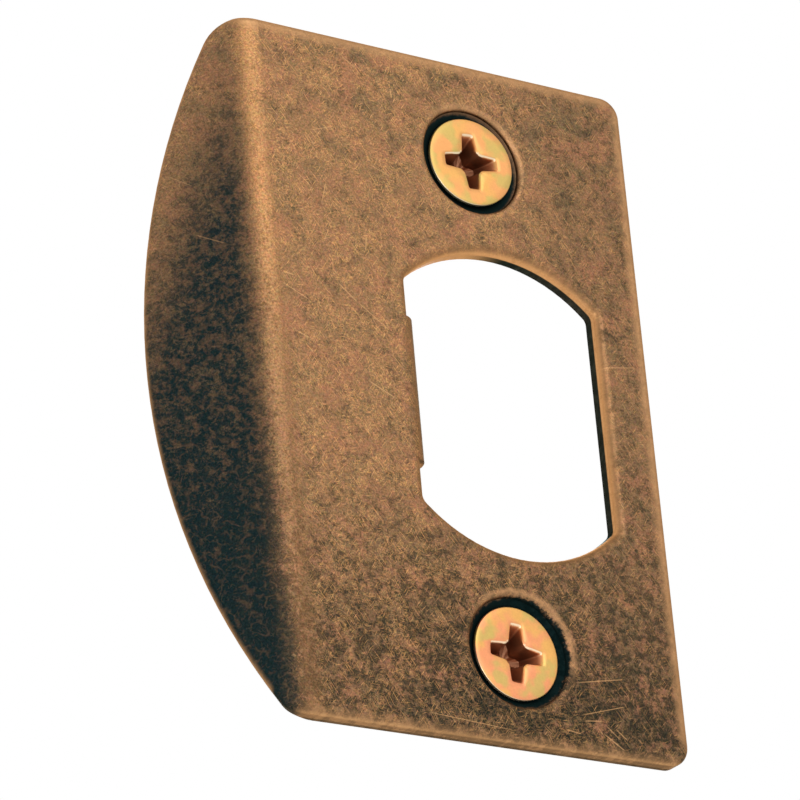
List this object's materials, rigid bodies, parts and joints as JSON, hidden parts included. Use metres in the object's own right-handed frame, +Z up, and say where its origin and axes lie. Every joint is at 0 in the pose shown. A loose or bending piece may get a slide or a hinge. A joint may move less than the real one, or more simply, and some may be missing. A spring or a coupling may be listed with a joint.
{
  "type": "door strike plate",
  "caption": "Flat rectangular latch strike with a lip folded back along one side, a flat-sided round latch opening with a bent tang, and countersunk wood screws.",
  "frame": {"origin": "on the back face's plane, on the line of the screws, at mid height", "axes": "+Z up along the face; +X across the face from the lip to the square edge; +Y out of the back face into the door jamb"},
  "size_m": [0.042, 0.0131, 0.0572],
  "materials": {
    "bronzed_steel": "antique bronze plate on steel sheet, worn bright along the edges",
    "yellow_zinc": "yellow zinc plate on steel screws"
  },
  "bodies": {
    "root": {"strike_plate": "bronzed_steel", "mounting_screws": "yellow_zinc"}
  },
  "joints": []
}
